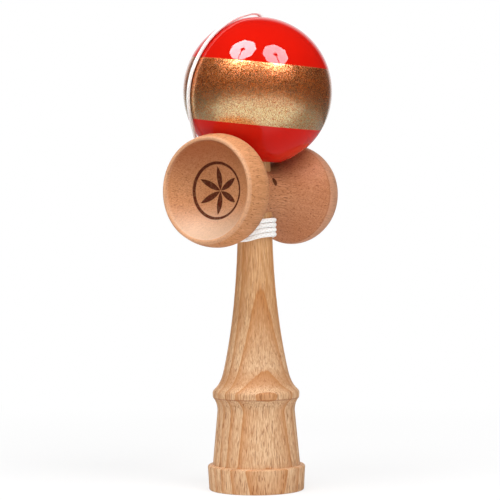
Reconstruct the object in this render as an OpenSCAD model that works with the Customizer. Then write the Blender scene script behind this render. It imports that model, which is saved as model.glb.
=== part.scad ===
// Kendama: a turned wooden handle (the ken), a crosspiece with a cup at each end (the sarado)
// and a lacquered ball (the tama) that hangs on a string and rests here on the handle's spike.
// Millimetres. +Z runs up the handle from the rim of its base cup, which lies on z = 0,
// -X points out of the big cup and +X out of the small cup.

/* [Ball] */
// Diameter of the ball
ball_d = 60; // [52:0.5:68]
// Diameter of the hole that takes the spike
ball_hole_d = 22.8; // [22:0.2:26]
// Width of the bevel round the mouth of the hole
ball_bevel = 0.8; // [0.4:0.1:2.4]
// Wood left between the end of the hole and the top of the ball
ball_crown = 11; // [8:0.5:12]
// Diameter of the string hole through the crown
ball_string_hole_d = 3.2; // [2.8:0.1:4.5]
// Width of the bevel round the string hole at the top of the ball
ball_string_bevel = 1.2; // [0.4:0.1:2]
// How far the ball sits off the handle's axis, towards the small cup
ball_offset = 2.6; // [1.5:0.1:2.8]
// Angle that the resting ball leans from upright
ball_lean = 7.5; // [4:0.5:8]
// Compass direction of that lean, from +X towards +Y
ball_lean_azimuth = -105; // [-120:5:-90]
// Gap between the resting ball and the saddle of the crosspiece
ball_gap = 0.3; // [0.2:0.05:0.6]

/* [Handle] */
// Height of the spike's tip above the base
ken_h = 165; // [160:0.5:166]
// Diameter of the base flange where it is widest, at its top
flange_d = 39; // [37:0.5:46]
// Diameter of the base flange at its foot
flange_foot_d = 38; // [36:0.5:39]
// Height of the base flange
flange_h = 10; // [6:0.5:14]
// Radius of the flange's top corner
flange_corner = 0.9; // [0.3:0.1:2]
// Radius of the flange's bottom edge
foot_corner = 0.5; // [0.2:0.1:0.8]
// Diameter of the base cup at its rim
base_cup_d = 33; // [28:0.5:34]
// Depth of the base cup
base_cup_depth = 7.5; // [5:0.5:9]
// Diameter of the grip just above the flange
grip_low_d = 35; // [33:0.5:36.5]
// Diameter of the grip just under the collar
grip_top_d = 31; // [28:0.5:33]
// Length of the grip between the flange and the collar
grip_h = 21.6; // [16:0.2:28]
// Diameter of the collar's crest
collar_d = 34.8; // [34:0.2:38]
// Length of the collar, from the grip to the start of the flare
collar_h = 16.4; // [12:0.2:20]
// Diameter of the handle where the collar runs into the flare
flare_d = 25.7; // [22:0.1:28]
// Length of the flare, from the collar to the neck
flare_h = 52; // [44:0.5:52]
// Diameter of the neck that the string is wound on
neck_d = 14.1; // [13:0.1:14.2]
// Diameter of the spike where it leaves the crosspiece
spike_d = 12.8; // [11:0.1:13]
// Diameter of the spike's round tip
tip_d = 8.2; // [6:0.1:9]

/* [Crosspiece] */
// Height of the crosspiece's axis above the base
sarado_z = 118.8; // [118:0.1:121]
// Diameter of the waist between the cups
waist_d = 20.8; // [20:0.1:24]
// Distance from the handle's axis to the rim of the big cup
big_reach = 34; // [32:0.1:40]
// Diameter of the big cup's hollow at its rim
big_rim_d = 38.4; // [34:0.1:40]
// Depth of the big cup's hollow
big_depth = 10.2; // [7:0.1:13]
// Thickness of the big cup's rounded lip
big_lip = 1.6; // [1:0.1:2]
// Largest outside diameter of the big cup
big_max_d = 44.4; // [43:0.1:48]
// Distance from the handle's axis to where the big cup is widest
big_shoulder = 25.9; // [25:0.1:28]
// Distance from the handle's axis to the rim of the small cup
small_reach = 33.4; // [31:0.1:40]
// Diameter of the small cup's hollow at its rim
small_rim_d = 35.6; // [30:0.1:37]
// Depth of the small cup's hollow
small_depth = 8.6; // [6:0.1:11]
// Thickness of the small cup's rounded lip
small_lip = 1.3; // [0.6:0.1:1.6]
// Largest outside diameter of the small cup
small_max_d = 41; // [40:0.1:44]
// Distance from the handle's axis to where the small cup is widest
small_shoulder = 27.3; // [27:0.1:29]
// Gap between the handle's taper and the crosspiece's bore
seat_gap = 0.05; // [0.03:0.01:0.1]
// Height of the string holes above the crosspiece's axis
string_hole_rise = 4; // [3:0.1:4.4]
// Diameter of the two string holes
string_hole_d = 3.2; // [2.6:0.1:3.6]
// Diameter of the pocket through the handle that hides the knot
knot_pocket_d = 4.4; // [4.2:0.1:5]

/* [String] */
// Diameter of the string
string_d = 1.4; // [1.1:0.05:1.45]
// Number of turns that cross the front of the neck
wrap_turns = 4; // [2:1:4]
// Rise of one turn
wrap_pitch = 1.9; // [1.9:0.05:1.95]
// Gap between the neck and the turns
wrap_gap = 0.25; // [0.2:0.05:0.5]
// Height that the turns start from, before their sag
wrap_low_z = 101.4; // [101.2:0.1:101.5]
// How much lower the turns lie under the cups than at the front and back
wrap_sag = 1.4; // [1.4:0.05:1.6]
// How much the turns tilt, lower under the big cup
wrap_tilt = 0.2; // [0.15:0.05:0.25]
// Diameter of the bead inside the ball
bead_d = 8; // [6:0.5:9]
// Diameter of the hole through the bead
bead_hole_d = 2.2; // [2:0.1:2.6]
// Gap between the bead and the end of the ball's hole
bead_gap = 0.3; // [0.2:0.05:0.5]
// Diameter of the knots at the string's two ends
knot_d = 3.6; // [3:0.1:3.8]
// Gap between the bead and the knot under it
knot_gap = 0.2; // [0.1:0.05:0.4]

/* [Hidden] */
$fn = 96;

// How far every cut runs past the face that it opens
overrun = 1;

ball_r = ball_d / 2;
ball_hole_r = ball_hole_d / 2;
saddle_r = ball_r + ball_gap;
saddle_h = waist_d / 2 + saddle_r;
ball_z = sarado_z + saddle_h;
ball_hole_end = ball_r - ball_crown;
bead_z = ball_hole_end - bead_gap - bead_d / 2;
bead_foot = bead_z - sqrt(pow(bead_d, 2) - pow(bead_hole_d, 2)) / 2;
ball_knot_z = bead_foot - knot_gap - knot_d / 2;

collar_z = flange_h + grip_h;
flare_z = collar_z + collar_h;
neck_z = flare_z + flare_h;
seat_low_z = sarado_z - waist_d / 2;
seat_top_z = sarado_z + waist_d / 2;
string_z = sarado_z + string_hole_rise;

// Where the collar's curves begin and end, as shares of its length and of its rise in radius
scoop_end_share = 0.32;
scoop_pull_share = 0.62;
scoop_rise_share = 0.92;
crest_share = 0.43;
crest_pull_share = 0.37;
brow_share = 0.53;
brow_pull_share = 0.481;
brow_rise_share = 0.8;
fall_pull_share = 0.67;
fall_rise_share = 0.242;
// Where the pull points of the flare's and the spike's curves lie, as shares of their length and taper
flare_pull_share = 0.43;
flare_rise_share = 0.153;
spike_pull_share = 0.5;
spike_rise_share = 0.62;

wrap_r = neck_d / 2 + wrap_gap + string_d / 2;
wrap_rings = 24;
wrap_sides = 6;
cord_sides = 8;
// The turns start under the big cup and end under the small one, half a turn short
wrap_sweep = wrap_turns - 1 / 2;
lead_slope = wrap_pitch / (2 * PI * wrap_r);
wrap_first_z = wrap_low_z - wrap_tilt - wrap_sag;
wrap_last_z = wrap_low_z + wrap_sweep * wrap_pitch + wrap_tilt - wrap_sag;
wrap_start = [-wrap_r, string_d, wrap_first_z - lead_slope * string_d];
wrap_end = [wrap_r, string_d, wrap_last_z + lead_slope * string_d];

// The string's route from the knot in the ball, up through the crown, over the ball above the big
// cup and down behind that cup to the first turn. The drop begins where the string leaves the ball.
over_route = [[2.3, -1.1, 168.3], [2.1, -1.8, 173.4], [1.9, -2.5, 178.8], [1.8, -3.1, 183.6],
              [1.6, -3.5, 186.8], [1.1, -3.4, 188.7], [0, -2.9, 190], [-1.6, -2, 190.6],
              [-4.2, -0.6, 190.1], [-8.2, 1.2, 188.6], [-12.6, 2.8, 186.4], [-16.4, 4.5, 183.6],
              [-19.6, 6.3, 180.3], [-22.3, 8.3, 176.1], [-24.2, 10.4, 171.2], [-25.2, 12.3, 166],
              [-25.2, 13.8, 160.7], [-24.3, 14.9, 155.4], [-22.6, 15.6, 150.4], [-20.3, 16.1, 145.9],
              [-17.8, 16.5, 141.5], [-15.5, 16.7, 137], [-13.6, 16.7, 132.2], [-12, 16.5, 127.2],
              [-10.8, 16.1, 122.2], [-9.9, 15.2, 117.2], [-9.4, 13.8, 112.4], [-9.3, 11.8, 108.2],
              [-9.4, 9.2, 104.6], [-9.3, 6.4, 101.9], [-8.7, 3.8, 100.3], wrap_start];
drop_from = 19;
// The string's route from the last turn up round the waist and into the hole at the back
tail_route = [wrap_end, [8.1, 4, 107.3], [8.2, 7, 108.2], [8, 10, 110.3], [7.2, 12.6, 113.3],
              [5.9, 14.2, 116.5], [4.2, 15, 119.6], [2.2, 14.8, 121.7], [0.7, 13.4, 122.7], [0, 11.4, 122.8],
              [0, 9.2, 122.8], [0, 7, 122.8], [0, 4.6, 122.8]];
sarado_knot_y = 4.6;

function mix(a, b, share) = a + (b - a) * share;

function unit(v) = v / norm(v);

// Points along an arc, from one angle to another, about a centre given as [x, y]
function arc(centre, r, from, to, steps) =
    [for (i = [0:steps]) let (a = mix(from, to, i / steps)) centre + r * [cos(a), sin(a)]];

// Points along the curve from a to b that a pull point bends
function bend(a, pull, b, steps) =
    [for (i = [1:steps]) let (t = i / steps) mix(mix(a, pull, t), mix(pull, b, t), t)];

// Radius of the ball that a round hollow of this rim and depth is part of
function hollow_r(rim_d, depth) = (pow(rim_d / 2, 2) + pow(depth, 2)) / (2 * depth);

// A hollow's outline from its deepest point to its rim, as [distance from the axis, height over the rim]
function hollow(rim_d, depth, steps) =
    let (r = hollow_r(rim_d, depth), half = asin(rim_d / 2 / r))
    [for (i = [0:steps]) let (a = half * i / steps) [r * sin(a), r * cos(a) - r + depth]];

// Radius of the round shoulder that runs from a cup's widest place into the saddle without a break
function shoulder_r(run, max_d) =
    (pow(run, 2) + pow(saddle_h - max_d / 2, 2) - pow(saddle_r, 2)) / (max_d - waist_d);

// Angle at which that shoulder hands over to the saddle
function shoulder_angle(run, max_d) = atan2(run, saddle_h - max_d / 2 + shoulder_r(run, max_d));

// A cup's outline from the bottom of its hollow to its widest place, as [radius, distance from the handle]
function cup(reach, rim_d, depth, lip, max_d, shoulder) =
    let (rim = reach - lip / 2,
         fall = (max_d - rim_d) / 2 - lip,
         belly = (pow(rim - shoulder, 2) + pow(fall, 2)) / (2 * fall),
         half = asin((rim - shoulder) / belly))
    concat([for (p = hollow(rim_d, depth - lip / 2, 14)) [p[0], rim - p[1]]],
           arc([(rim_d + lip) / 2, rim], lip / 2, 150, 0, 5),
           [for (p = arc([max_d / 2 - belly, shoulder], belly, half, 0, 8)) if (p[1] < rim) p]);

// The rest of that outline, from the widest place to where the saddle takes over
function shoulder_curve(run, max_d, shoulder) =
    let (r = shoulder_r(run, max_d))
    arc([max_d / 2 - r, shoulder], r, 0, -shoulder_angle(run, max_d), 8);

function mirrored(points) = [for (p = points) [p[0], -p[1]]];

function reversed(points) = [for (i = [len(points) - 1:-1:0]) points[i]];

big_run = big_shoulder + ball_offset;
small_run = small_shoulder - ball_offset;

// Outline of the crosspiece as [radius, x], from the big hollow round the saddle to the small hollow
sarado_outline = concat(
    mirrored(cup(big_reach, big_rim_d, big_depth, big_lip, big_max_d, big_shoulder)),
    mirrored(shoulder_curve(big_run, big_max_d, big_shoulder)),
    arc([saddle_h, ball_offset], saddle_r, 180 + shoulder_angle(big_run, big_max_d),
        180 - shoulder_angle(small_run, small_max_d), 40),
    reversed(shoulder_curve(small_run, small_max_d, small_shoulder)),
    reversed(cup(small_reach, small_rim_d, small_depth, small_lip, small_max_d, small_shoulder)));

// Radius of the handle's taper through the crosspiece
function taper_r(z) = mix(neck_d, spike_d, (z - seat_low_z) / (seat_top_z - seat_low_z)) / 2;

// Outline of the handle as [radius, z], from the base cup round the outside to the spike's tip
grip_r = grip_top_d / 2;
collar_r = collar_d / 2;
flare_r = flare_d / 2;
neck_r = neck_d / 2;
tip_r = tip_d / 2;
scoop_end = [mix(grip_r, collar_r, scoop_rise_share), collar_z + collar_h * scoop_end_share];
crest = [collar_r, collar_z + collar_h * crest_share];
brow = [mix(flare_r, collar_r, brow_rise_share), collar_z + collar_h * brow_share];
tip_z = ken_h - tip_r;
ken_outline = concat(
    hollow(base_cup_d, base_cup_depth, 14),
    arc([flange_foot_d / 2 - foot_corner, foot_corner], foot_corner, -90, 0, 4),
    arc([flange_d / 2 - flange_corner, flange_h - flange_corner], flange_corner, 0, 90, 6),
    [[grip_low_d / 2, flange_h], [grip_r, collar_z]],
    bend([grip_r, collar_z], [grip_r, mix(collar_z, scoop_end[1], scoop_pull_share)], scoop_end, 6),
    bend(scoop_end, [collar_r, collar_z + collar_h * crest_pull_share], crest, 5),
    bend(crest, [collar_r, collar_z + collar_h * brow_pull_share], brow, 5),
    bend(brow, [mix(flare_r, collar_r, fall_rise_share), collar_z + collar_h * fall_pull_share],
         [flare_r, flare_z], 8),
    bend([flare_r, flare_z], [mix(neck_r, flare_r, flare_rise_share), flare_z + flare_h * flare_pull_share],
         [neck_r, neck_z], 16),
    [[neck_r, seat_low_z], [spike_d / 2, seat_top_z]],
    bend([spike_d / 2, seat_top_z],
         [mix(tip_r, spike_d / 2, spike_rise_share), mix(seat_top_z, tip_z, spike_pull_share)],
         [tip_r, tip_z], 8),
    arc([0, tip_z], tip_r, 10, 90, 8));

// Direction of travel at each point of a route, with given directions at the two ends
function directions(route, first, last) =
    [for (i = [0:len(route) - 1])
        i == 0 ? unit(first) : i == len(route) - 1 ? unit(last) : unit(route[i + 1] - route[i - 1])];

// A direction across the route at each point, carried along so that the tube doesn't twist
function carried(along, across, i = 0) =
    i == len(along) ? [] :
    let (here = unit(across - (across * along[i]) * along[i]))
    concat([here], carried(along, here, i + 1));

// A round string: rings of points square to the route, joined by triangles and closed at both ends
module tube(route, along, sides) {
    across = carried(along, [0.36, 0.48, 0.8]);
    last = len(route) - 1;
    rings = [for (i = [0:last]) for (k = [0:sides - 1]) let (a = 360 * k / sides)
        route[i] + string_d / 2 * (cos(a) * across[i] + sin(a) * cross(along[i], across[i]))];
    walls = [for (i = [0:last - 1]) for (k = [0:sides - 1])
        let (a = i * sides + k, b = i * sides + (k + 1) % sides)
        each [[a, a + sides, b], [b, a + sides, b + sides]]];
    caps = [for (k = [1:sides - 2])
        each [[0, k, k + 1], [last * sides, last * sides + k + 1, last * sides + k]]];
    polyhedron(points = rings, faces = concat(walls, caps));
}

function part_of(list, from, to) = [for (i = [from:to]) list[i]];

lead_in = [0, -1, lead_slope];
lead_out = [0, 1, lead_slope];
ball_axis = [sin(ball_lean) * cos(ball_lean_azimuth), sin(ball_lean) * sin(ball_lean_azimuth), cos(ball_lean)];
over_along = directions(over_route, ball_axis, lead_in);
tail_along = directions(tail_route, lead_out, [0, -1, 0]);

// The turns: a right-handed helix that dips under the cups, with a straight lead at each end
wrap_count = wrap_sweep * wrap_rings;
wrap_points = [for (i = [0:wrap_count]) let (a = 180 + 360 * i / wrap_rings)
    [wrap_r * cos(a), wrap_r * sin(a),
     wrap_low_z + wrap_pitch * i / wrap_rings + wrap_tilt * cos(a) - wrap_sag * pow(cos(a), 4)]];
wrap_route = concat([wrap_start], wrap_points, [wrap_end]);
wrap_along = directions(wrap_route, lead_in, lead_out);
wrap_least_gap = min([for (i = [0:wrap_count]) for (k = [i + wrap_rings / 2:1:wrap_count])
    norm(wrap_points[i] - wrap_points[k])]) - string_d;
echo(string_wraps_least_gap = wrap_least_gap);

// Puts what is drawn about the ball's own axis, with the ball's centre at zero, in its resting place
module on_ball() {
    translate([ball_offset, 0, ball_z]) rotate([0, ball_lean, ball_lean_azimuth]) children();
}

module ken() {
    color("burlywood") difference() {
        rotate_extrude() polygon(ken_outline);
        translate([0, 0, string_z]) rotate([90, 0, 0])
            cylinder(d = knot_pocket_d, h = neck_d + overrun, center = true);
    }
}

module sarado() {
    color("peru") difference() {
        translate([0, 0, sarado_z]) rotate([0, 90, 0]) rotate_extrude() polygon(sarado_outline);
        translate([0, 0, seat_low_z - overrun])
            cylinder(r1 = taper_r(seat_low_z - overrun) + seat_gap, r2 = taper_r(seat_top_z + overrun) + seat_gap,
                     h = seat_top_z - seat_low_z + 2 * overrun);
        translate([0, 0, string_z]) rotate([90, 0, 0])
            cylinder(d = string_hole_d, h = waist_d + overrun, center = true);
    }
}

module tama() {
    mouth_z = -sqrt(pow(ball_r, 2) - pow(ball_hole_r + ball_bevel, 2));
    string_hole_r = ball_string_hole_d / 2;
    top_z = sqrt(pow(ball_r, 2) - pow(string_hole_r + ball_string_bevel, 2));
    color("firebrick") on_ball() difference() {
        sphere(r = ball_r);
        translate([0, 0, -ball_r - overrun])
            cylinder(r = ball_hole_r, h = ball_r + overrun + ball_hole_end);
        translate([0, 0, mouth_z - overrun])
            cylinder(r1 = ball_hole_r + ball_bevel + overrun, r2 = ball_hole_r, h = ball_bevel + overrun);
        cylinder(r = string_hole_r, h = ball_r + overrun);
        translate([0, 0, top_z - ball_string_bevel])
            cylinder(r1 = string_hole_r, r2 = string_hole_r + ball_string_bevel + overrun,
                     h = ball_string_bevel + overrun);
    }
}

module bead() {
    color("navajowhite") on_ball() translate([0, 0, bead_z]) difference() {
        sphere(d = bead_d);
        cylinder(d = bead_hole_d, h = bead_d + overrun, center = true);
    }
}

module ball_knot() {
    color("white") on_ball() translate([0, 0, ball_knot_z]) sphere(d = knot_d);
}

module sarado_knot() {
    color("white") translate([0, sarado_knot_y, string_z]) sphere(d = knot_d);
}

module string_crown() {
    color("white") tube(part_of(over_route, 0, drop_from), part_of(over_along, 0, drop_from), cord_sides);
}

module string_drop() {
    end = len(over_route) - 1;
    color("white") tube(part_of(over_route, drop_from, end), part_of(over_along, drop_from, end), cord_sides);
}

module string_wraps() {
    color("white") tube(wrap_route, wrap_along, wrap_sides);
}

module string_tail() {
    color("white") tube(tail_route, tail_along, cord_sides);
}

ken();
sarado();
tama();
bead();
ball_knot();
string_crown();
string_drop();
string_wraps();
string_tail();
sarado_knot();
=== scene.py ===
import math

import bpy
import numpy as np
from mathutils import Matrix, Vector


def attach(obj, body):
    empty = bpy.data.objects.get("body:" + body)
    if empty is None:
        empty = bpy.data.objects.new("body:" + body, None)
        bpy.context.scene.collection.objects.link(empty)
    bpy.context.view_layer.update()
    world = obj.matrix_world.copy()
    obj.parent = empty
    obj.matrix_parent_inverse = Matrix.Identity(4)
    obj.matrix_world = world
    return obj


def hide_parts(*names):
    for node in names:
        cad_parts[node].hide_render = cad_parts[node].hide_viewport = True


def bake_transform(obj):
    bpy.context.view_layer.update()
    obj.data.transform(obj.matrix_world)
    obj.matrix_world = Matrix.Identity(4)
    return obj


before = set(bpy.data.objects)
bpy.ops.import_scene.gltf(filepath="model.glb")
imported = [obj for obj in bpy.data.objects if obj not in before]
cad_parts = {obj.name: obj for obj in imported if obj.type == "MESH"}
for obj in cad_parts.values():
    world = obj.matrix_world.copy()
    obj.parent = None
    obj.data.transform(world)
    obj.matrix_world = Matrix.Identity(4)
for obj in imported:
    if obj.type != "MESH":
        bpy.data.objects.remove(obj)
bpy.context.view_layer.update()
scene = bpy.context.scene
scene.view_settings.view_transform = "Standard"

# The photographer's place: a long lens, level, a little under the toy's middle, turned so that it
# looks into the big cup and along the flank of the small one.
toward_camera = Vector((-0.829, -0.559, 0)).normalized()
camera_right = Vector((0.559, -0.829, 0)).normalized()
eye_distance, eye_height = 0.657, 0.0918
aim_height, aim_left = 0.0958, 0.00202
camera_roll = math.radians(0.395)
eye = toward_camera * eye_distance + Vector((0, 0, eye_height))
aim = Vector((0, 0, aim_height)) - camera_right * aim_left
ahead = (aim - eye).normalized()
side = ahead.cross(Vector((0, 0, 1))).normalized()
over = side.cross(ahead)
image_up = over * math.cos(camera_roll) + side * math.sin(camera_roll)
image_right = side * math.cos(camera_roll) - over * math.sin(camera_roll)
lens = bpy.data.cameras.new("photo_camera")
lens.sensor_width = 36
lens.lens = 117.86
lens.clip_start = 0.01
camera = bpy.data.objects.new("photo_camera", lens)
camera.matrix_world = Matrix((image_right, image_up, -ahead)).transposed().to_4x4()
camera.location = eye
scene.collection.objects.link(camera)
scene.camera = camera


# The string: one white braided cord, knotted under the bead inside the ball. It comes out of the
# ball's crown, lies over the ball above the big cup, runs down behind that cup, is wound on the
# handle's neck and ends knotted in the crosspiece's back hole.
string_d, string_sides, string_steps = 1.4, 18, 1420
turn_r, lowest_turn, turn_pitch, turn_count = 8.0, 101.4, 1.9, 3.5
turn_tilt, dip_under_cups = 0.2, 1.4
turn_step = 15
over_ball = np.array([
    [2.3, -1.1, 168.3], [2.1, -1.8, 173.4], [1.9, -2.5, 178.8], [1.8, -3.1, 183.6],
    [1.6, -3.5, 186.8], [1.1, -3.4, 188.7], [0, -2.9, 190], [-1.6, -2, 190.6],
    [-4.2, -0.6, 190.1], [-8.2, 1.2, 188.6], [-12.6, 2.8, 186.4], [-16.4, 4.5, 183.6],
    [-19.6, 6.3, 180.3], [-22.3, 8.3, 176.1], [-24.2, 10.4, 171.2], [-25.2, 12.3, 166],
    [-25.2, 13.8, 160.7], [-24.3, 14.9, 155.4], [-22.6, 15.6, 150.4], [-20.3, 16.1, 145.9],
    [-17.8, 16.5, 141.5], [-15.5, 16.7, 137], [-13.6, 16.7, 132.2], [-12, 16.5, 127.2],
    [-10.8, 16.1, 122.2], [-9.9, 15.2, 117.2], [-9.4, 13.8, 112.4], [-9.3, 11.8, 108.2],
    [-9.4, 9.2, 104.6], [-9.3, 6.4, 101.9], [-8.7, 3.8, 100.3]])
into_back = np.array([
    [8.1, 4, 107.3], [8.2, 7, 108.2], [8, 10, 110.3], [7.2, 12.6, 113.3], [5.9, 14.2, 116.5],
    [4.2, 15, 119.6], [2.2, 14.8, 121.7], [0.7, 13.4, 122.7], [0, 11.4, 122.8],
    [0, 9.2, 122.8], [0, 7, 122.8], [0, 4.6, 122.8]])


def neck_turns():
    """The turns: a helix round the neck from under the big cup, where each turn dips by the fourth
    power of the cosine to pass below the cups, with a straight lead of one diameter at each end."""
    a = np.radians(np.arange(180, 180 + 360 * turn_count + 1, turn_step))
    climb = lowest_turn + turn_pitch * (a - np.pi) / (2 * np.pi)
    z = climb + turn_tilt * np.cos(a) - dip_under_cups * np.cos(a) ** 4
    turns = np.stack([turn_r * np.cos(a), turn_r * np.sin(a), z], 1)
    rise = string_d * turn_pitch / (2 * np.pi * turn_r)
    return np.vstack([turns[0] + [0, string_d, -rise], turns, turns[-1] + [0, string_d, rise]])


def eased(points, count):
    """A natural cubic spline through the points, with the distance along their chords as its
    parameter, taken at evenly spaced distances."""
    s = np.concatenate([[0], np.cumsum(np.linalg.norm(np.diff(points, axis=0), axis=1))])
    h = np.diff(s)
    slopes = np.diff(points, axis=0) / h[:, None]
    rows = np.eye(len(points))
    inner = np.arange(1, len(points) - 1)
    rows[inner, inner - 1] = h[:-1] / 6
    rows[inner, inner] = (h[:-1] + h[1:]) / 3
    rows[inner, inner + 1] = h[1:] / 6
    ends = np.zeros(3)
    bends = np.linalg.solve(rows, np.vstack([ends, np.diff(slopes, axis=0), ends]))
    t = np.linspace(0, s[-1], count)
    i = np.clip(np.searchsorted(s, t) - 1, 0, len(h) - 1)
    b = ((t - s[i]) / h[i])[:, None]
    a = 1 - b
    bow = (a**3 - a) * bends[i] + (b**3 - b) * bends[i + 1]
    return a * points[i] + b * points[i + 1] + (h[i] ** 2 / 6)[:, None] * bow


def mesh_piece(name, places, faces, uv=None, smooth_under=40):
    """A piece from whole arrays of places, in millimetres, and faces, smooth except at edges
    sharper than the angle."""
    mesh = bpy.data.meshes.new(name)
    mesh.from_pydata((np.asarray(places) / 1000).tolist(), [], [list(face) for face in faces])
    mesh.polygons.foreach_set("use_smooth", np.ones(len(mesh.polygons), bool))
    mesh.set_sharp_from_angle(angle=math.radians(smooth_under))
    if uv is not None:
        along = mesh.uv_layers.new(name="along")
        along.data.foreach_set("uv", np.asarray(uv, np.float32).ravel())
    mesh.update()
    piece = bpy.data.objects.new(name, mesh)
    scene.collection.objects.link(piece)
    return piece


def carried_round(path, radius, sides, tall=None, closed=False):
    """A round section carried along a path: at each place the section's first direction is the last
    one with its part along the path taken out, so that the tube doesn't twist. Where tall is given,
    each section is that many times as high as a round one. A flat disc closes each end. Gives the
    places, the faces and a map of (distance along, share of the way round)."""
    along = np.gradient(path, axis=0)
    if closed:
        along = np.roll(path, -1, axis=0) - np.roll(path, 1, axis=0)
    along /= np.linalg.norm(along, axis=1)[:, None]
    first = np.empty_like(path)
    carried = np.array([0.36, 0.48, 0.8])
    for i, t in enumerate(along):
        carried = carried - (carried @ t) * t
        carried /= np.linalg.norm(carried)
        first[i] = carried
    second = np.cross(along, first)
    a = 2 * np.pi * np.arange(sides)[:, None] / sides
    spokes = np.cos(a) * first[:, None] + np.sin(a) * second[:, None]
    if tall is not None:
        spokes[:, :, 2] *= tall[:, None]
    rings = path[:, None] + radius * spokes
    count = len(path)
    i, k = np.meshgrid(np.arange(count if closed else count - 1), np.arange(sides), indexing="ij")
    j, m = (i + 1) % count, (k + 1) % sides
    corners = [i * sides + k, i * sides + m, j * sides + m, j * sides + k]
    faces = np.stack(corners, -1).reshape(-1, 4).tolist()
    s = np.concatenate([[0], np.cumsum(np.linalg.norm(np.diff(path, axis=0), axis=1))])
    s = np.append(s, s[-1] + np.linalg.norm(path[0] - path[-1]))
    distance = np.stack([s[i], s[i], s[i + 1], s[i + 1]], -1)
    share = np.stack([k, k + 1, k + 1, k], -1) / sides
    uv = np.stack([distance, share], -1).reshape(-1, 2)
    if not closed:
        disc = np.arange(sides)
        faces += [disc[::-1].tolist(), (disc + sides * (count - 1)).tolist()]
        uv = np.vstack([uv, np.stack([0 * disc, disc[::-1] / sides], 1),
                        np.stack([0 * disc + s[count - 1], disc / sides], 1)])
    return rings.reshape(-1, 3), faces, uv


class Signal:
    """A shader socket that takes part in Python arithmetic: each operator adds one Math node."""

    def __init__(self, tree, socket):
        self.tree, self.socket = tree, socket

    def node(self, kind, settings, inputs, out=0):
        """Any node: its settings are set first, then its sockets get their values or links."""
        made = self.tree.nodes.new("ShaderNode" + kind)
        for key, value in settings.items():
            setattr(made, key, value)
        for key, value in inputs.items():
            if isinstance(value, Signal):
                self.tree.links.new(value.socket, made.inputs[key])
            else:
                made.inputs[key].default_value = value
        return Signal(self.tree, made.outputs[out])

    def math(self, operation, *others):
        """A Math node of this value and the others."""
        return self.node("Math", {"operation": operation}, dict(enumerate((self, *others))))

    def __add__(self, other):
        return self.math("ADD", other)

    __radd__ = __add__

    def __sub__(self, other):
        return self.math("SUBTRACT", other)

    def __rsub__(self, other):
        return self.node("Math", {"operation": "SUBTRACT"}, {0: other, 1: self})

    def __mul__(self, other):
        return self.math("MULTIPLY", other)

    __rmul__ = __mul__

    def __truediv__(self, other):
        return self.math("DIVIDE", other)

    def __pow__(self, other):
        return self.math("POWER", other)

    def step(self, low, high):
        """0 under low, 1 over high, smooth between."""
        smooth = {"interpolation_type": "SMOOTHSTEP"}
        return self.node("MapRange", smooth, {0: self, 1: low, 2: high})

    def band(self, rise, fall):
        """1 between two soft edges, each given as a pair of values, and 0 outside them."""
        return self.step(*rise) * (1 - self.step(*fall))

    def moved(self, scale, shift=(0, 0, 0)):
        """This vector times a scale for each axis, plus a shift."""
        operation = {"operation": "MULTIPLY_ADD"}
        return self.node("VectorMath", operation, {0: self, 1: scale, 2: shift})

    def dot(self, direction):
        """How far this vector reaches along a direction."""
        operation = {"operation": "DOT_PRODUCT"}
        return self.node("VectorMath", operation, {0: self, 1: direction}, out=1)

    def length(self):
        """This vector's length."""
        return self.node("VectorMath", {"operation": "LENGTH"}, {0: self}, out=1)

    def noise(self, detail=2, roughness=0.5):
        """Soft noise from 0 to 1 over this vector, one blotch to each unit."""
        grain = {"Vector": self, "Scale": 1, "Detail": detail, "Roughness": roughness}
        return self.node("TexNoise", {}, grain)

    def blend(self, none, full):
        """A colour from none, where this is 0, to full, where it is 1."""
        return self.node("Mix", {"data_type": "RGBA"}, {0: self, 6: none, 7: full}, out=2)


def tint(red, green, blue):
    """A colour as a picture writes it, 0 to 255, turned to the light that it stands for."""
    c = np.array([red, green, blue]) / 255
    return (*np.where(c <= 0.04045, c / 12.92, ((c + 0.055) / 1.055) ** 2.4).tolist(), 1)


def finish(name, **constants):
    """A Principled surface with these constant sockets. Gives the material, the shader's sockets
    and its object coordinates in millimetres."""
    made = bpy.data.materials.new(name)
    made.use_nodes = True
    tree = made.node_tree
    shader = tree.nodes["Principled BSDF"]
    for key, value in constants.items():
        socket = key.replace("_", " ").title().replace("Ior", "IOR")
        shader.inputs[socket].default_value = value
    metres = Signal(tree, tree.nodes.new("ShaderNodeTexCoord").outputs["Object"])
    return made, shader.inputs, metres.moved((1000, 1000, 1000))


def feed(socket, signal):
    """Links a signal to one of the shader's sockets."""
    signal.tree.links.new(signal.socket, socket)


def bump(height, depth_mm):
    """A Bump of a height from 0 to 1 that stands for this many millimetres."""
    return height.node("Bump", {}, {"Strength": 1, "Distance": depth_mm / 1000, "Height": height})


# Eight strands cross over and under each other round the cord, four each way, with a few fibres
# standing loose.
strand_lay, strands_each_way = 1.9, 4
string_white, sockets, at = finish(
    "string_white", roughness=0.85, sheen_weight=0.25, sheen_roughness=0.5)
run = at.node("SeparateXYZ", {}, {0: at.node("UVMap", {"uv_map": "along"}, {})})
round_share = Signal(run.tree, run.socket.node.outputs[1])
lengthwise = run * (2 * math.pi / strand_lay)
crosswise = round_share * (2 * math.pi * strands_each_way)
one_way, other_way = (lengthwise + crosswise).math("SINE"), (lengthwise - crosswise).math("SINE")
strands = one_way.math("MAXIMUM", other_way) * 0.5 + 0.5
fibres = at.moved((9, 9, 9)).noise(3)
feed(sockets["Base Color"],
     (strands * 0.75 + fibres * 0.25).blend(tint(228, 227, 224), tint(254, 254, 252)))
feed(sockets["Normal"], bump(strands * 0.8 + fibres * 0.2, 0.12))

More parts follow.
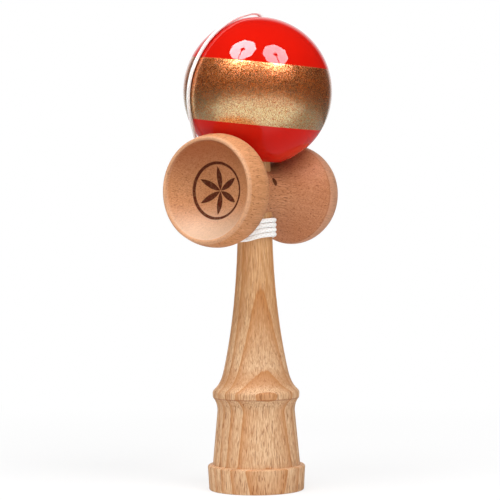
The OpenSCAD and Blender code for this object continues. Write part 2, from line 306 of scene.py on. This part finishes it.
# The turns are wound so tight that they press each other flat against the neck, which fades out
# over a few millimetres at their ends.
pressed_taller, pressed_reach, pressed_fade = 0.28, 1.2, 41
turns_path = neck_turns()
string_path = eased(np.vstack([over_ball, turns_path, into_back]), string_steps)
from_turns = np.linalg.norm(string_path[:, None] - turns_path[None], axis=2).min(1)
pressed = np.pad((from_turns < pressed_reach).astype(float), pressed_fade // 2, mode="edge")
pressed = np.convolve(pressed, np.ones(pressed_fade) / pressed_fade, mode="valid")
string = mesh_piece("string", *carried_round(
    string_path, string_d / 2, string_sides, 1 + pressed_taller * pressed))
string.data.materials.append(string_white)
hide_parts("string_crown", "string_drop", "string_wraps", "string_tail")


# The two stopper knots, tied in the string's own ends: one under the bead, one in the pocket that
# runs through the handle behind the crosspiece's hole.
knot_loop_r, knot_swing, knot_rise, knot_cord_r = 0.66, 0.3, 0.55, 0.62
knot_steps, knot_sides = 120, 12
ball_centre = np.array([2.6, 0, 159.5])
ball_axis = np.array([-0.033782, -0.126079, 0.991445])
ball_knot_height = 8.85


def stopper_knot(name, centre, up):
    """A trefoil knot, where the angle goes twice round while the section goes three times in and
    out, drawn so tight that the cord fills a small ball."""
    t = 2 * np.pi * np.arange(knot_steps) / knot_steps
    reach = knot_loop_r + knot_swing * np.cos(3 * t)
    up = np.array(up) / np.linalg.norm(up)
    across = np.cross(up, [0.8, 0.6, 0])
    across /= np.linalg.norm(across)
    path = (np.array(centre) + (reach * np.cos(2 * t))[:, None] * across
            + (reach * np.sin(2 * t))[:, None] * np.cross(up, across)
            + (knot_rise * np.sin(3 * t))[:, None] * up)
    places, faces, uv = carried_round(path, knot_cord_r, knot_sides, closed=True)
    knot = mesh_piece(name, places, faces, uv, smooth_under=180)
    knot.data.materials.append(string_white)
    return knot


ball_knot = stopper_knot(
    "ball_stopper_knot", ball_centre + ball_knot_height * ball_axis, ball_axis)
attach(ball_knot, "bead")
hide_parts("ball_knot")
back_knot = stopper_knot("back_stopper_knot", into_back[-1], (0, 1, 0))
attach(back_knot, "ken")
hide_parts("sarado_knot")


# The ball: turned from one block of wood, drilled for the spike from below and for the string from
# above, then sprayed with gloss red lacquer, a masked band of metallic gold, and a clear coat. The
# drilled holes stay bare wood.
ball_r, ball_sides, skin_steps = 30, 192, 150
hole_r, hole_end, mouth, bevel, bevel_steps = 11.4, 19, 27.41, 0.8, 4
string_hole_r, string_bevel, crown_top = 1.6, 1.2, 29.87


def turned(profile, centre, axis, sides):
    """A closed outline of (distance from the axis, height along it) turned once round the axis
    through a centre."""
    axis = np.asarray(axis) / np.linalg.norm(axis)
    across = np.cross(axis, [0.8, 0.6, 0])
    across /= np.linalg.norm(across)
    a = 2 * np.pi * np.arange(sides) / sides
    spokes = np.cos(a)[:, None] * across + np.sin(a)[:, None] * np.cross(axis, across)
    r, h = np.asarray(profile, float).T
    places = np.asarray(centre) + r[:, None, None] * spokes[None] + h[:, None, None] * axis
    i, k = np.meshgrid(np.arange(len(r)), np.arange(sides), indexing="ij")
    j, m = (i + 1) % len(r), (k + 1) % sides
    corners = [i * sides + k, i * sides + m, j * sides + m, j * sides + k]
    return places.reshape(-1, 3), np.stack(corners, -1).reshape(-1, 4)


def line(a, b, steps):
    """Even steps from one outline point towards another, without the last."""
    t = np.arange(steps)[:, None] / steps
    return np.array(a) * (1 - t) + np.array(b) * t


low_angle = math.atan2(-mouth, hole_r + bevel)
high_angle = math.atan2(crown_top, string_hole_r + string_bevel)
skin = np.linspace(low_angle, high_angle, skin_steps)
skin = np.stack([ball_r * np.cos(skin), ball_r * np.sin(skin)], 1)
crown_edge = (string_hole_r + string_bevel, crown_top)
string_edge = (string_hole_r, crown_top - string_bevel)
bore_edge = (hole_r, bevel - mouth)
mouth_edge = (hole_r + bevel, -mouth)
bare = np.vstack([
    line(crown_edge, string_edge, bevel_steps),
    line(string_edge, (string_hole_r, hole_end), 12),
    line((string_hole_r, hole_end), (hole_r, hole_end), 12),
    line((hole_r, hole_end), bore_edge, 40),
    line(bore_edge, mouth_edge, bevel_steps)])
places, faces = turned(np.vstack([skin[:-1], bare]), ball_centre, ball_axis, ball_sides)
ball = mesh_piece("ball", places, faces)

# The gold is a spray of flakes, each tipped its own way, over a brown ground. Towards the band's
# upper edge its leaf is painted redder, painted shade and reflection for the dark room and pinkish
# umbrellas that the upper half mirrors, and its tape sat a little askew.
gold_low, gold_high, tape_askew = -12.9, 11.5, (0.00839, -0.01244, 0)
flakes_per_mm, flake_tip = 5.2, 0.14
lacquer, sockets, at = finish(
    "ball_lacquer", coat_roughness=0.02, coat_ior=1.4, specular_ior_level=0.0)
band_axis = (Vector(ball_axis) + Vector(tape_askew)).normalized()
height = at.moved((1, 1, 1), tuple(-ball_centre)).dot(tuple(band_axis))
edge = height + (at.moved((3, 3, 3)).noise(3) * 0.12 - 0.06)
gold = edge.band((gold_low - 0.1, gold_low + 0.1), (gold_high - 0.1, gold_high + 0.1))
flakes = at.node("TexVoronoi", {}, {
    "Vector": at.moved((flakes_per_mm,) * 3), "Scale": 1, "Randomness": 1}, out=1)
clumps = at.moved((2.2, 2.2, 2.2)).noise(2) * 0.3 - 0.15
leaf = (flakes.dot((1, 0, 0)) + clumps).step(0.12, 0.52)
red = at.moved((0.05, 0.05, 0.05)).noise(2).blend(tint(200, 19, 7), tint(211, 24, 9))
ground = at.moved((1.3, 1.3, 1.3)).noise(2).blend(tint(158, 66, 8), tint(206, 98, 22))
flake_shade = flakes.dot((0, 1, 0))
pale_leaf = flake_shade.blend(tint(224, 192, 126), tint(252, 234, 184))
# Painted shade and reflection: the upper leaf redder, for the dark room and pinkish umbrellas it
# mirrors.
upper_leaf_painted_shade = flake_shade.blend(tint(236, 150, 84), tint(255, 184, 130))
leafed = leaf.blend(ground, height.step(-8, 3).blend(pale_leaf, upper_leaf_painted_shade))
feed(sockets["Base Color"], gold.blend(red, leafed))
feed(sockets["Metallic"], gold * (0.42 + 0.58 * leaf))
feed(sockets["Roughness"], 0.36 + gold * (0.14 - 0.28 * leaf + 0.08 * flakes.dot((0, 0, 1))))
tip = flakes.moved((2, 2, 2), (-1, -1, -1))
facing = at.node("NewGeometry", {}, {}, out=1)
tipped = tip.moved(tip).moved(tip).moved(gold * flake_tip, facing)
feed(sockets["Normal"], tipped.node("VectorMath", {"operation": "NORMALIZE"}, {0: tipped}))
feed(sockets["Coat Weight"], 0.96 + at.moved((0.4, 0.4, 0.4)).noise(1) * 0.04)

drilled, sockets, at = finish("ball_drilled_wood", roughness=0.75)
fibre = at.moved((1.6, 1.6, 0.12)).noise(3)
feed(sockets["Base Color"], fibre.blend(tint(176, 124, 80), tint(224, 182, 134)))
feed(sockets["Normal"], bump(fibre, 0.08))
ball.data.materials.append(lacquer)
ball.data.materials.append(drilled)
row = np.arange(len(faces)) // ball_sides
inside = (row >= len(skin) - 1 + bevel_steps) & (row < len(skin) - 1 + len(bare) - bevel_steps)
ball.data.polygons.foreach_set("material_index", inside.astype(np.int32))
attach(ball, "tama")
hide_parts("tama")


# The bead: a small plain turned bead on the string at the end of the ball's hole, which the ball
# swivels on.
bead_r, bead_hole_r, bead_height, bead_sides = 4, 1.1, 14.7, 64
bead_angle = math.acos(bead_hole_r / bead_r)
bead_end = bead_r * math.sin(bead_angle)
bead_arc = np.linspace(-bead_angle, bead_angle, 40)
bead_outline = np.vstack([
    np.stack([bead_r * np.cos(bead_arc), bead_r * np.sin(bead_arc)], 1)[:-1],
    line((bead_hole_r, bead_end), (bead_hole_r, -bead_end), 12)])
bead = mesh_piece("swivel_bead", *turned(
    bead_outline, ball_centre + bead_height * ball_axis, ball_axis, bead_sides))
bead_wood, sockets, at = finish("bead_wood", roughness=0.5)
fibre = at.moved((2.2, 2.2, 0.3)).noise(3)
feed(sockets["Base Color"], fibre.blend(tint(206, 162, 112), tint(236, 204, 158)))
feed(sockets["Normal"], bump(fibre, 0.04))
bead.data.materials.append(bead_wood)
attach(bead, "bead")
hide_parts("bead")

tuple(string_path[0] / 1000)
(string_path / 1000).tolist()
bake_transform(string)


# The handle: one length of pale straight-grained hardwood, turned to the collar, flare and spike,
# hollowed at its foot for the base cup, sanded and rubbed with a thin satin oil.
def joined(name, node, smooth_under=40):
    """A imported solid's own surface with the corners of its loose triangles joined, to a thousandth
    of a millimetre."""
    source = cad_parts[node].data
    corners = np.empty(len(source.vertices) * 3)
    source.vertices.foreach_get("co", corners)
    loops = np.empty(len(source.loops), np.int32)
    source.loops.foreach_get("vertex_index", loops)
    microns = np.round(corners.reshape(-1, 3) * 1e6)
    places, index = np.unique(microns, axis=0, return_inverse=True)
    faces = index.ravel()[loops].reshape(-1, 3)
    whole = (faces != np.roll(faces, -1, axis=1)).all(1)
    piece = mesh_piece(name, places / 1000, faces[whole], smooth_under=smooth_under)
    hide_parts(node)
    return piece


def grown(at, across, ring_mm, first_mm, along, wander):
    """Growth rings cut by the lathe: distance across the layers, pushed about by soft noise,
    counted in ring widths. Each ring starts dark at its edge and fades to pale. Gives that
    darkness, 0 to 1."""
    sway = at.moved(tuple(0.03 if a else 0.11 for a in along)).noise(2) - 0.5
    shake = at.moved(tuple(0.08 if a else 0.9 for a in along)).noise(2) - 0.5
    count = (at.dot(across) + sway * wander + shake * 0.3 - first_mm) / ring_mm
    share = count.math("FRACT")
    edge_mm, fading = 0.15, 2.3
    return share.step(0, edge_mm / ring_mm) * (1 - share) ** fading


def layered(colour, *layers):
    """A colour with layers laid over it in turn, each a share from 0 to 1 and the layer's tint."""
    for share, laid in layers:
        colour = share.blend(colour, laid)
    return colour


upright = (0, 0, 1)
handle_wood, sockets, at = finish("handle_wood", specular_ior_level=0.13)
rings = grown(at, (-0.669, -0.743, 0.02), ring_mm=3.96, first_mm=9.66, along=upright, wander=0.9)
streaks = at.moved((1.7, 1.7, 0.055)).noise(3, 0.6)
fine = at.moved((2.8, 2.8, 0.2)).noise(3, 0.65)
flecks = at.moved((1.9, 1.9, 0.22), (4, 9, 2)).noise(1).step(0.6, 0.68)
patches = at.moved((0.06, 0.06, 0.02)).noise(2)
pale = (streaks * 0.6 + patches * 0.4).step(0.36, 0.64)

# The wood is painted paler towards the foot, painted light from the white table's bounce and sheen.
# The brow above the collar's crest is painted darker, painted shade that tones down the lamps' light
# on it, and a fine dark line runs under the crest.
up = at.dot(upright)
low = 1 - up.step(34, 86)
# Painted light: paler towards the foot, for the white table's bounce and sheen.
painted_table_light = low * (0.75 + 0.25 * up.step(40, 52))
# Painted shade: the brow darker, toning down the lamps' light on it.
brow_painted_shade = up.band((40.5, 43), (45, 50))
# A fine dark line under the collar's crest.
fine_dark_line = up.band((36.35, 36.6), (36.9, 37.1))
feed(sockets["Base Color"], layered(
    pale.blend(tint(196, 141, 90), tint(225, 183, 137)),
    (painted_table_light * 0.75, tint(230, 202, 168)),
    (rings * 0.9, tint(190, 124, 68)),
    (fine.step(0.4, 0.62) * (0.4 + 0.2 * low), tint(172, 114, 66)),
    (flecks * (0.32 + 0.3 * low), tint(138, 80, 40)),
    (brow_painted_shade * 0.45, tint(186, 128, 80)),
    (fine_dark_line * 0.45, tint(150, 82, 46))))
feed(sockets["Roughness"], 0.4 + streaks * 0.12 + flecks * 0.12)
feed(sockets["Normal"], bump(fine * 0.5 + streaks * 0.3 - flecks * 0.6 - rings * 0.2, 0.05))
handle = joined("handle", "ken", smooth_under=11)
handle.data.materials.append(handle_wood)
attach(handle, "ken")


# The crosspiece: a second, pinker piece of hardwood, turned with its grain across the toy, hollowed
# at both ends and pressed down on the handle's taper. A plain six-petal rosette is burned in the
# big cup.
sideways = (1, 0, 0)
cup_axis_z, string_hole_z = 118.8, 122.8
crosspiece_wood, sockets, at = finish("crosspiece_wood", specular_ior_level=0.18)
rings = grown(at, (0, -0.34, 0.94), ring_mm=3.1, first_mm=118.2, along=sideways, wander=2.4)
streaks = at.moved((0.06, 1.5, 1.5)).noise(3, 0.6)
fine = at.moved((0.12, 2.5, 2.5)).noise(3, 0.65)
flecks = at.moved((0.34, 2.0, 2.0), (3, 1, 7)).noise(1).step(0.62, 0.7)
pores = at.moved((0.34, 2.1, 2.1), (8, 2, 5)).noise(2, 0.7).step(0.5, 0.62)
dashes = at.moved((0.26, 1.35, 1.35), (1, 6, 3)).noise(1).step(0.66, 0.71)
patches = at.moved((0.03, 0.07, 0.07)).noise(2)
rosy = (streaks * 0.5 + patches * 0.5).step(0.3, 0.7)

# Both string holes are painted dark inside, painted shade in the holes, and both rims are painted
# paler,
# painted light: rim light from the white room behind on the small cup and the lamps' sheen on the
# big one, the small cup's past a fine dark line. The big cup's end is yellower, and end grain shows
# as ticks in its hollow, which is painted darker above, painted shade under the lip, and paler
# below, painted light from the lamps.
outward, up = at.dot(sideways), at.dot(upright)
flat = at.moved((0, 1, 1), (0, 0, -cup_axis_z))
off_axis = flat.length()
# Painted shade: the string holes dark inside.
hole_painted_shade = 1 - at.moved((1, 0, 1), (0, 0, -string_hole_z)).length().step(1.58, 1.72)
skirt = off_axis.step(18.6, 18.8)
# Painted light: the small cup's rim paler, rim light from the white room behind.
small_rim_painted_light = skirt * outward.step(25.2, 25.7)
# A fine dark line round the small cup, just inside its pale rim.
fine_dark_line = skirt * outward.band((24.8, 25), (25.2, 25.4))
big_end = 1 - outward.step(-22, -12)
# Painted sheen: the big cup's rim paler, the lamps' sheen at a grazing angle.
big_rim_painted_sheen = skirt * (1 - outward.step(-33.2, -32.4))
in_cup = (1 - outward.step(-21, -20)) * (1 - off_axis.step(19.2, 19.4))
ticks = at.moved((1, 0.95, 3.1), (2, 4, 6)).noise(2, 0.6).step(0.5, 0.66)
wood = layered(
    rosy.blend(tint(196, 131, 88), tint(223, 162, 120)),
    (rings * 0.35, tint(172, 106, 68)),
    (fine.step(0.4, 0.66) * 0.38 + pores * 0.32, tint(150, 88, 52)),
    ((flecks * 0.6).math("MAXIMUM", dashes * 0.75), tint(108, 52, 26)),
    (hole_painted_shade * 0.8, tint(100, 44, 20)),
    (small_rim_painted_light * 0.3, tint(238, 206, 178)),
    (fine_dark_line * 0.3, tint(120, 66, 38)),
    (big_end * 0.34, tint(196, 138, 84)),
    (big_rim_painted_sheen * 0.22, tint(240, 204, 172)),
    (in_cup * ticks * 0.42, tint(140, 76, 38)),
    # Painted light: the hollow paler below, where the lamps light it.
    (in_cup * (1 - up.step(100, 116)) * 0.65, tint(212, 189, 165)),
    # Painted shade: the hollow darker above, under the lip.
    (in_cup * up.step(120, 138) * 0.66, tint(142, 60, 18)),
    (outward.step(6, 14) * 0.36, tint(176, 108, 72)))

# Each petal of the rosette is what two circles of its own radius share, as a compass draws it, and
# a ring runs round the six.
petal_r = 9.6
near = []
for angle in np.radians(60 * np.arange(6) + 30):
    to_axis = (0, -petal_r * math.cos(angle), -petal_r * math.sin(angle))
    from_centre = flat.moved((1, 1, 1), to_axis).length()
    near.append(1 - from_centre.step(petal_r - 0.2, petal_r + 0.05))
petals = sum(near[k - 1] * near[(k + 1) % 6] for k in range(6))
ring = off_axis.band((petal_r + 0.5, petal_r + 0.8), (petal_r + 1.6, petal_r + 1.9))
char = at.moved((1, 1.1, 1.1)).noise(3)
burned = (petals + ring).math("MINIMUM", 1) * in_cup * (0.84 + char.step(0.3, 0.6) * 0.16)
feed(sockets["Base Color"], burned.blend(wood, char.blend(tint(34, 8, 0), tint(96, 34, 10))))
feed(sockets["Roughness"], 0.4 + streaks * 0.12 + flecks * 0.12 + burned * 0.5)
relief = fine * 0.4 + streaks * 0.3 - flecks * 0.6 - pores * 0.3 - burned * 1.2
feed(sockets["Normal"], bump(relief, 0.05))
crosspiece = joined("crosspiece", "sarado")
crosspiece.data.materials.append(crosspiece_wood)
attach(crosspiece, "ken")


# The studio: a white table that runs out of sight, two lamps in eight-sided umbrellas above and in
# front, a weak low fill behind the camera, and the white room's own soft light from behind the toy
# and from the left.
def emptied(owner):
    """The node tree of a new material or world, with nothing in it."""
    owner.use_nodes = True
    owner.node_tree.nodes.clear()
    return owner.node_tree


def met_by(tree, *kinds):
    """1 for a ray of one of these kinds, 0 for any other."""
    path = tree.nodes.new("ShaderNodeLightPath")
    met = [Signal(tree, path.outputs[f"Is {kind} Ray"]) for kind in kinds]
    found = met[0]
    for other in met[1:]:
        found = found.math("MAXIMUM", other)
    return found


# The lacquer mirrors the table bright only before the toy, where the lamps light it. It fades out
# to the sides, towards the camera and under the toy.
table_half = 4
table = bpy.data.meshes.new("table")
table.from_pydata([(-table_half, -table_half, 0), (table_half, -table_half, 0),
                   (table_half, table_half, 0), (-table_half, table_half, 0)], [], [(0, 1, 2, 3)])
table = bpy.data.objects.new("table", table)
scene.collection.objects.link(table)
table_white = bpy.data.materials.new("table_white")
tree = emptied(table_white)
at = Signal(tree, tree.nodes.new("ShaderNodeTexCoord").outputs["Object"])
shown = met_by(tree, "Camera", "Glossy", "Transmission")
mirrored = met_by(tree, "Glossy")
beside = at.dot(tuple(camera_right)).math("ABSOLUTE").step(0.3, 0.6)
before = at.dot(tuple(toward_camera))
past_edge = before.step(0.5, 0.8).math("MAXIMUM", beside)
dimmed = (past_edge * 0.92).math("MAXIMUM", 0.7 - 0.7 * before.step(0.03, 0.12))
away = 0.7 + 0.3 * at.length().step(0.1, 0.4)
lit = at.node("BsdfDiffuse", {}, {"Color": (0.9, 0.9, 0.9, 1)})
white = at.node("Emission", {}, {"Color": (1, 1, 1, 1), "Strength": 1 - dimmed * mirrored})
plain = (shown * away).math("MAXIMUM", mirrored)
surface = at.node("MixShader", {}, {0: plain, 1: lit, 2: white})
feed(tree.nodes.new("ShaderNodeOutputMaterial").inputs[0], surface)
table.data.materials.append(table_white)


def soft_lamp(name, place, back, width, watts):
    """A round lamp at a place, shining away from the direction at its back. No gloss mirrors it."""
    data = bpy.data.lights.new(name, "AREA")
    data.shape, data.size, data.energy = "DISK", width, watts
    lamp = bpy.data.objects.new(name, data)
    lamp.location = place
    lamp.rotation_euler = back.to_track_quat("Z", "Y").to_euler()
    lamp.visible_glossy = False
    scene.collection.objects.link(lamp)


umbrella_distance, umbrella_width = 0.9, 0.56


def umbrella_lamp(name, direction, watts, glow):
    """A lamp in an eight-sided white umbrella, away from the ball in a direction of (right, up,
    towards the camera). The lamp gives the light; the cloth, a fan of eight triangles about its
    hub, is what the lacquer mirrors, with the bulb's holder and its stem dark before it."""
    right, above, toward = direction
    way = camera_right * right + Vector((0, 0, above)) + toward_camera * toward
    way.normalize()
    hub = Vector(ball_centre / 1000) + umbrella_distance * way
    soft_lamp(name, hub, way, umbrella_width, watts)
    level = way.cross(Vector((0, 0, 1))).normalized()
    drop = way.cross(level)
    a = np.radians(22.5 + 45 * np.arange(8))[:, None]
    rim = np.cos(a) * np.array(level) + np.sin(a) * np.array(drop)
    rim = np.array(hub) + umbrella_width / 2 * rim
    mesh = bpy.data.meshes.new(name + "_umbrella")
    mesh.from_pydata([hub, *rim.tolist()], [], [(0, k + 1, (k + 1) % 8 + 1) for k in range(8)])
    cloth = bpy.data.objects.new(name + "_umbrella", mesh)
    scene.collection.objects.link(cloth)
    cloth.visible_camera = cloth.visible_diffuse = False
    cloth.visible_transmission = cloth.visible_shadow = False
    made = bpy.data.materials.new(name + "_cloth")
    tree = emptied(made)
    at = Signal(tree, tree.nodes.new("ShaderNodeTexCoord").outputs["Object"])
    at = at.moved((1, 1, 1), tuple(-hub))
    beside_stem = at.dot(tuple(level)).math("ABSOLUTE").step(0.008, 0.014)
    stem = (1 - beside_stem) * at.dot(tuple(drop)).step(0, 0.01)
    bare = at.length().step(0.038, 0.05) * (1 - 0.85 * stem)
    strength = bare * (glow + glow * 0.5 * at.moved((9, 9, 9)).noise(2))
    light = at.node("Emission", {}, {"Color": (1, 0.9, 0.97, 1), "Strength": strength})
    feed(tree.nodes.new("ShaderNodeOutputMaterial").inputs[0], light)
    mesh.materials.append(made)


umbrella_lamp("left_lamp", (-0.309, 0.858, 0.41), watts=5.0, glow=19)
umbrella_lamp("right_lamp", (0.4, 0.763, 0.508), watts=5.2, glow=13)
fill_place = toward_camera * 1.15 + camera_right * 0.15 + Vector((0, 0, 0.3))
lit_middle = Vector((0, 0, 0.1))
soft_lamp("front_fill", fill_place, fill_place - lit_middle, width=1, watts=2.3)

room = bpy.data.worlds.new("white_room")
scene.world = room
tree = emptied(room)
looking = Signal(tree, tree.nodes.new("ShaderNodeTexCoord").outputs["Generated"])
direct = met_by(tree, "Camera", "Transmission")
mirrored = met_by(tree, "Glossy")
backdrop = looking.dot((-toward_camera.x, -toward_camera.y, 0.2)).step(0.83, 1)
from_behind = looking.dot(tuple(-toward_camera)).step(-0.1, 0.9)
from_left = looking.dot(tuple(-camera_right)).step(0.1, 0.9)
soft = 0.14 + 0.55 * from_behind + 0.6 * from_left
unseen = mirrored * (0.03 + 0.97 * backdrop) + (1 - mirrored) * soft
strength = direct + (1 - direct) * unseen
sky = looking.node("Background", {}, {"Color": (1, 1, 1, 1), "Strength": strength})
feed(tree.nodes.new("ShaderNodeOutputWorld").inputs[0], sky)
